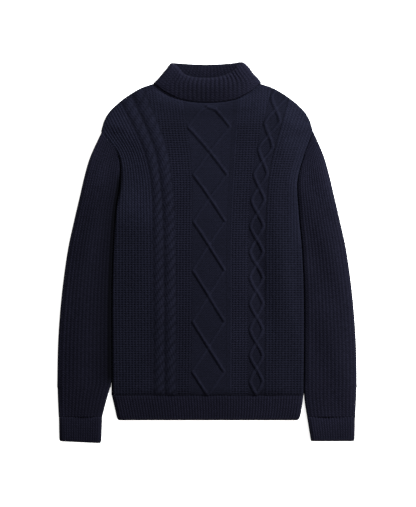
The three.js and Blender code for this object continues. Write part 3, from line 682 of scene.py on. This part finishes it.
def edge_points(rows, column):
    """One edge's points from a table of sections, a row every half course."""
    y = np.arange(rows[0]["y"], rows[-1]["y"] + 0.1, COURSE / 2)
    y = np.append(y[:-1], rows[-1]["y"])
    return np.stack([read(rows, "y", column, y), y], axis=1)


fine_rib_wool = knit_wool("fine_rib_wool", SHADED_TROUGH, RIB_CREST)
hem_plan = straight_plan(edge_points(HEM, "left"), edge_points(HEM, "right"), HEM_RIBS)
hem_roll = np.linspace(0, 1, hem_plan.shape[1])
hem_crown = HEM_CROWN * np.sin(np.pi / 2 * np.clip(hem_roll, 0.02, 1)) ** 0.6
# It is drawn in at the seam above
hem_crown = hem_crown - 1.2 * np.exp(-((hem_roll - 1) / 0.05)**2)
# Painted shade: darker along the seam above and towards the left
hem_shade = 0.95 - 0.35 * np.exp(-((hem_roll - 1) / 0.04)**2)
hem_shade = hem_shade * (0.84 + 0.2 * tube_shares(HEM_RIBS)[:, None])
hem_band = knit_tube("hem_rib", hem_plan, HEM_RIBS, rise=FINE_RIB_RISE, depth=0.7, shade=hem_shade,
                     wool=fine_rib_wool, crown=hem_crown)
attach(hem_band, "root")
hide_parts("hem_band")


# Sleeves
# Two tubes knitted in a deeper rib that runs from cuff to shoulder, set into the armholes
# and folded down beside the body.
SLEEVE = [
    {"y": -338, "outer": 304.5, "inner_left": 215, "inner_right": 205},
    {"y": -305, "outer": 306, "inner_left": 206.5, "inner_right": 200},
    {"y": -277, "outer": 307, "inner_left": 198.5, "inner_right": 198},
    {"y": -270, "outer": 307.5, "inner_left": 196.5, "inner_right": 198},
    {"y": -180, "outer": 305.5, "inner_left": 190, "inner_right": 190},
    {"y": -90, "outer": 298.5, "inner_left": 190, "inner_right": 190},
    {"y": 0, "outer": 286.5, "inner_left": 186, "inner_right": 186},
    {"y": 66, "outer": 272.5, "inner_left": 180, "inner_right": 180},
    {"y": 113, "outer": 261.5, "inner_left": 176, "inner_right": 176},
]
SLEEVE_HEAD = [
    {"inner_y": 148, "outer_x": 251, "outer_y": 158},
    {"inner_y": 172, "outer_x": 239, "outer_y": 198},
    {"inner_y": 196, "outer_x": 217, "outer_y": 247},
]
SLEEVE_RIBS, SLEEVE_CROWN = 14, 4.5
SLEEVE_RIB_RISE = 1.0
INSIDE_ARMHOLE = 150          # an X where the armhole's curve takes over from the table


def sleeve_plan(side):
    """Places round a sleeve, from the cuff up to the curve of the armhole."""
    edge_name, inner_name = ("left", "inner_left") if side < 0 else ("right", "inner_right")
    marks = [{"mark": k, "near_x": row[inner_name], "near_y": row["y"],
              "far_x": row["outer"], "far_y": row["y"]} for k, row in enumerate(SLEEVE)]
    for row in SLEEVE_HEAD:
        marks.append({"mark": len(marks), "near_x": INSIDE_ARMHOLE, "near_y": row["inner_y"],
                      "far_x": row["outer_x"], "far_y": row["outer_y"]})
    fine = np.linspace(0, len(marks) - 1, 2000)
    middle = (read(marks, "mark", "near_y", fine) + read(marks, "mark", "far_y", fine)) / 2
    steps = round((middle[-1] - middle[0]) / (COURSE / 3))
    mark = np.interp(np.linspace(middle[0], middle[-1], steps), middle, fine)
    near_y, far_y = read(marks, "mark", "near_y", mark), read(marks, "mark", "far_y", mark)
    near_x, far_x = read(marks, "mark", "near_x", mark), read(marks, "mark", "far_x", mark)
    body_edge = np.abs(read(BODY, "y", edge_name, near_y)) + 0.1
    near_x = np.where(near_y > HEM_SEAM, np.maximum(near_x, body_edge), near_x)
    share = tube_shares(SLEEVE_RIBS)[:, None]
    if side < 0:
        share = 1 - share
    x = near_x * (1 - share) + far_x * share
    y = near_y * (1 - share) + far_y * share
    # The last rows bend to the armhole's curve
    armhole = np.abs(read(BODY, "y", edge_name, y)) + 0.1
    bowed = smooth(1 - (middle[-1] - (near_y + far_y) / 2) / 60)
    x = x + (armhole[:, -1:] - x[:, -1:]) * bowed
    x = np.where(y > 100, np.maximum(x, armhole), x)
    return np.stack([side * x, y], axis=2)


sleeve_wool = knit_wool("lengthwise_rib_wool", SHADED_TROUGH, RIB_CREST)
for side, name, node in ((-1, "sleeve_rib_left", "sleeve_left"),
                         (1, "sleeve_rib_right", "sleeve_right")):
    plan = sleeve_plan(side)
    outward = tube_shares(SLEEVE_RIBS)[:, None]
    outward = 1 - outward if side < 0 else outward
    up = np.linspace(0, 1, plan.shape[1])[None, :]
    crown = SLEEVE_CROWN * np.sin(np.pi * np.clip(outward, 0, 1) ** 1.6)
    crown = crown * (0.1 + 0.9 * smooth((1 - up) * 6))
    crown = crown * (0.35 + 0.65 * smooth(up * 9))
    crown = crown + 1.0 * np.sin(up * 17 + 6 * outward) * np.sin(np.pi * outward) * smooth((1 - up) * 5)
    # Painted shade on the side that is pressed against the body, the left one more; the left sleeve is
    # painted darker all over, both are painted lighter up by the head, and the outer edge has a painted
    # highlight
    touch = smooth((up - 0.1) * 20) * smooth((0.95 - up) * 10)
    edge, half, rim_highlight = (0.05, 0.58, 0.4) if side < 0 else (0.65, 1, 0.08)
    shade = edge + (1 - edge) * smooth((outward - 0.05) / 0.05)
    shade = shade * (half + (1 - half) * smooth(outward / 0.5))
    painted_shade = 0.78 if side > 0 else 0.62
    painted_shade = painted_shade + 0.18 * smooth((up - 0.75) / 0.15)
    shade = (1 - touch * (1 - shade)) * painted_shade * (1 + rim_highlight * smooth((outward - 0.66) / 0.3))
    # Its head is sewn to the body's edge at the body's own height
    bight = 10 - 6.5 * smooth((up - 0.9) / 0.05)
    sleeve = knit_tube(name, plan, SLEEVE_RIBS, rise=SLEEVE_RIB_RISE, depth=0.32, shade=shade,
                       wool=sleeve_wool, crown=crown, bight=bight)
    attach(sleeve, "root")
    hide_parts(node)


# Cuffs
# Short tubes of the hem's fine rib, knitted on at the ends of the sleeves. They slope a
# little, the left one down towards the body.
CUFF = [
    {"y": -388, "outer": 301.5, "inner_left": 219, "inner_right": 213.5},
    {"y": -384, "outer": 303, "inner_left": 217, "inner_right": 212.5},
    {"y": -338, "outer": 304, "inner_left": 215, "inner_right": 205},
]
CUFF_RIBS, CUFF_CROWN = 18, 2.0
LEFT_SLOPE = 4                # how much lower the left one's inner corner lies

for side, name, node, inner in ((-1, "cuff_rib_left", "cuff_left", "inner_left"),
                                (1, "cuff_rib_right", "cuff_right", "inner_right")):
    near, far = edge_points(CUFF, inner), edge_points(CUFF, "outer")
    down = np.linspace(1, 0, len(near))
    near, far = near * (side, 1), far * (side, 1)
    if side < 0:
        near[:, 1] -= LEFT_SLOPE * down
    plan = straight_plan(far, near, CUFF_RIBS) if side < 0 else straight_plan(near, far, CUFF_RIBS)
    roll = np.linspace(0, 1, plan.shape[1])
    crown = CUFF_CROWN * np.sin(np.pi * np.clip(roll, 0.02, 0.98)) ** 0.5
    # Painted shade: the left one darker all over, the right one darker between its ribs
    depth, shade = (0.3, 0.7) if side < 0 else (0.55, 0.95)
    cuff = knit_tube(name, plan, CUFF_RIBS, rise=FINE_RIB_RISE, depth=depth, shade=shade,
                     wool=fine_rib_wool, crown=crown)
    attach(cuff, "root")
    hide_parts(node)


# Collar
# One ribbed strip linked to the neck line, folded over on itself and turned down outside,
# so that it stands two walls thick before and behind.
COLLAR = [
    {"across": -1, "front_fold": 387, "rear_fold": 388, "front_edge": 342, "rear_edge": 348},
    {"across": -0.8, "front_fold": 379, "rear_fold": 387, "front_edge": 327, "rear_edge": 340},
    {"across": -0.5, "front_fold": 363, "rear_fold": 385.5, "front_edge": 313, "rear_edge": 331},
    {"across": 0, "front_fold": 357, "rear_fold": 384.5, "front_edge": 306.5, "rear_edge": 327},
    {"across": 0.5, "front_fold": 366, "rear_fold": 386, "front_edge": 312, "rear_edge": 331},
    {"across": 0.8, "front_fold": 382, "rear_fold": 388, "front_edge": 327, "rear_edge": 340},
    {"across": 1, "front_fold": 389, "rear_fold": 390, "front_edge": 343, "rear_edge": 350},
]
COLLAR_SIDES = [
    {"y": 300, "left": -111, "right": 112}, {"y": 344, "left": -110, "right": 112},
    {"y": 354, "left": -101, "right": 106}, {"y": 366, "left": -90, "right": 94},
    {"y": 377, "left": -81, "right": 86}, {"y": 389, "left": -74, "right": 75},
]
COLLAR_RIBS, POINTS_PER_COLLAR_RIB = 23, 6
END_POINTS = 10               # round each end of the flattened collar
COLLAR_RIB_RISE, COLLAR_PUFF = 1.2, 3.2
NECK_GAP = 1.2                # from the neck line up to the strip's lower edge
COLLAR_MIDDLE = 2 * WALL + 1.5 * GAP
INNER, CREASE = GAP / 2, GAP / 2 + WALL
OUTER = CREASE + GAP + WALL
# The section, out from the middle of the neck: up inside, over the fold, down outside,
# round the free edge, and back between the two layers
COLLAR_SECTION = (
    [(INNER, "seam", t) for t in np.linspace(0, 0.93, 22)]
    + [(INNER + 0.6, "seam", 0.97), (INNER + 1.8, "seam", 0.99), (INNER + 3.2, "seam", 1.0)]
    + [(INNER + 4.6, "seam", 0.99), (OUTER - 0.5, "edge", 0.035)]
    + [(OUTER, "edge", t) for t in np.linspace(0.1, 0.97, 30)]
    + [(OUTER - 0.6, "edge", 0.99), (OUTER - 1.7, "edge", 1.0), (CREASE + GAP + 0.4, "edge", 0.995)]
    + [(CREASE + GAP, "edge", t) for t in np.linspace(0.97, 0.1, 8)]
    + [(CREASE + GAP / 2, "edge", 0.08), (CREASE, "edge", 0.1)]
    + [(CREASE, "seam", t) for t in np.linspace(0.85, 0.0, 6)]
)


def neck_loop(y):
    """Middle and half width of the loop that the section goes round, at a height y."""
    left = read(COLLAR_SIDES, "y", "left", y) + 2 * WALL
    right = read(COLLAR_SIDES, "y", "right", y) - 2 * WALL
    return (left + right) / 2, (right - left) / 2


def build_collar():
    """The folded strip: its section, set at each point round the neck."""
    flat = COLLAR_RIBS * POINTS_PER_COLLAR_RIB
    steps = np.arange(1, END_POINTS + 1) / (END_POINTS + 1)
    # Along the front, round the right end, back along the rear and round the left end. turn
    # is the way out from the middle, in degrees: 90 faces up, -90 faces the table.
    across = np.r_[np.linspace(-1, 1, flat + 1), np.ones(END_POINTS),
                   np.linspace(1, -1, flat + 1), -np.ones(END_POINTS + 1)]
    turn = np.r_[np.full(flat + 1, 90.0), 90 - 180 * steps,
                 np.full(flat + 1, -90.0), -90 - 180 * steps, -270.0]
    front = (np.sin(np.radians(turn)) + 1) / 2
    foot_middle, foot_half = neck_loop(NECK_TOP - NECK_DIP)
    seam = top_edge(np.clip(foot_middle + foot_half * across, -NECK_HALF, NECK_HALF)) + NECK_GAP
    fold = (read(COLLAR, "across", "rear_fold", across) * (1 - front)
            + read(COLLAR, "across", "front_fold", across) * front)
    edge = (read(COLLAR, "across", "rear_edge", across) * (1 - front)
            + read(COLLAR, "across", "front_edge", across) * front)
    wales = (across + 1) / 2 * COLLAR_RIBS
    straight = smooth((np.abs(np.sin(np.radians(turn))) - 0.9) / 0.1)
    # Round its two ends the strip is stretched and the ribs are all but flat
    straight = straight * (1 - 0.65 * smooth((np.abs(across) - 0.62) / 0.3))
    crest = rib_crest(wales) * straight
    flat_crest = crest + 1 - straight
    bm = bmesh.new()
    rows = len(COLLAR_SECTION)
    bmesh.ops.create_grid(bm, x_segments=len(turn) - 1, y_segments=rows, size=0.5)
    knit = bm.verts.layers.float_vector.new("knit")
    for vert in bm.verts:
        i = round((vert.co.x + 0.5) * (len(turn) - 1))
        out, part, t = COLLAR_SECTION[round((vert.co.y + 0.5) * rows) % rows]
        y = seam[i] + (fold[i] - seam[i]) * t if part == "seam" else fold[i] + (edge[i] - fold[i]) * t
        # The inner layers are painted darker, as painted shade
        painted_light = 0.4
        if out >= OUTER - 0.6:
            facing_up = max(0.0, math.sin(math.radians(turn[i])))
            puff = COLLAR_PUFF * math.sin(math.pi * min(1, t**0.6 * 1.02)) * facing_up
            # The ribs part over the fold and close up again below it. Below the fold the collar is
            # painted darker, most in the middle, and its right end is painted lighter.
            closed = float(smooth((t - 0.25) / 0.4))
            painted_light = float(painted_lightness(flat_crest[i], 0.42 - 0.24 * closed, y, 0.1))
            in_middle = math.exp(-(across[i] / 0.6)**2)
            lit_end = float(smooth(across[i] * 3 - 2))
            painted_light *= 0.9 - 0.36 * closed * in_middle + 0.25 * lit_end
            thin = 0.5 * float(smooth((t - 0.8) / 0.2))
            rib_stand = COLLAR_RIB_RISE * crest[i] * float(stitch_bar(y, 0.2))
            rib_stand = rib_stand * (1 - thin) * (1 - 0.35 * closed)
            out = out + puff + (rib_stand - thin) * (turn[i] > 0)
        elif part == "seam" and out < INNER + 1 and turn[i] <= -90:
            # Painted shade inside the neck, behind
            painted_light = 0.7 * float(painted_lightness(crest[i], 0.25, y, 0.1))
            out = out + 0.5 * (1 - crest[i]) * min(1, max(0, t - 0.3) * 5)
        middle, half = neck_loop(y)
        angle = math.radians(turn[i])
        x = middle + half * across[i] + out * math.cos(angle)
        vert.co = (x * MM, y * MM, (COLLAR_MIDDLE + out * math.sin(angle)) * MM)
        vert[knit] = (wales[i], y / COURSE, painted_light)
    bmesh.ops.remove_doubles(bm, verts=bm.verts, dist=0.002 * MM)
    bmesh.ops.recalc_face_normals(bm, faces=bm.faces)
    return new_object("roll_collar", bm, knit_wool("broad_rib_wool", SHADED_TROUGH, RIB_CREST))


collar = build_collar()
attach(collar, "root")
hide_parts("collar")


# Light
# A soft lamp low at the upper right, which rakes the ribs, weak ones at the lower right and
# the upper left, and an even white sky.
world = bpy.data.worlds.new("white_sky")
world.use_nodes = True
world.node_tree.nodes["Background"].inputs["Color"].default_value = (1, 1, 1, 1)
world.node_tree.nodes["Background"].inputs["Strength"].default_value = 0.3
bpy.context.scene.world = world
key_data = bpy.data.lights.new("key_lamp", "AREA")
key_data.shape, key_data.size, key_data.energy = "DISK", 0.7, 210
key_data.color = (0.95, 1.0, 1.03)
key_lamp = bpy.data.objects.new("key_lamp", key_data)
key_lamp.location = (1.45, 1.85, 1.05)
key_lamp.rotation_euler = (-key_lamp.location.normalized()).to_track_quat("-Z", "Y").to_euler()
bpy.context.scene.collection.objects.link(key_lamp)
for name, place, energy in (("right_fill", (2.3, -0.9, 1.1), 90), ("left_fill", (-1.5, 2.3, 0.9), 35)):
    fill_data = bpy.data.lights.new(name, "AREA")
    fill_data.shape, fill_data.size, fill_data.energy = "DISK", 1.2, energy
    fill_data.color = (1.04, 0.98, 0.93)
    fill_lamp = bpy.data.objects.new(name, fill_data)
    fill_lamp.location = place
    fill_lamp.rotation_euler = (-fill_lamp.location.normalized()).to_track_quat("-Z", "Y").to_euler()
    bpy.context.scene.collection.objects.link(fill_lamp)
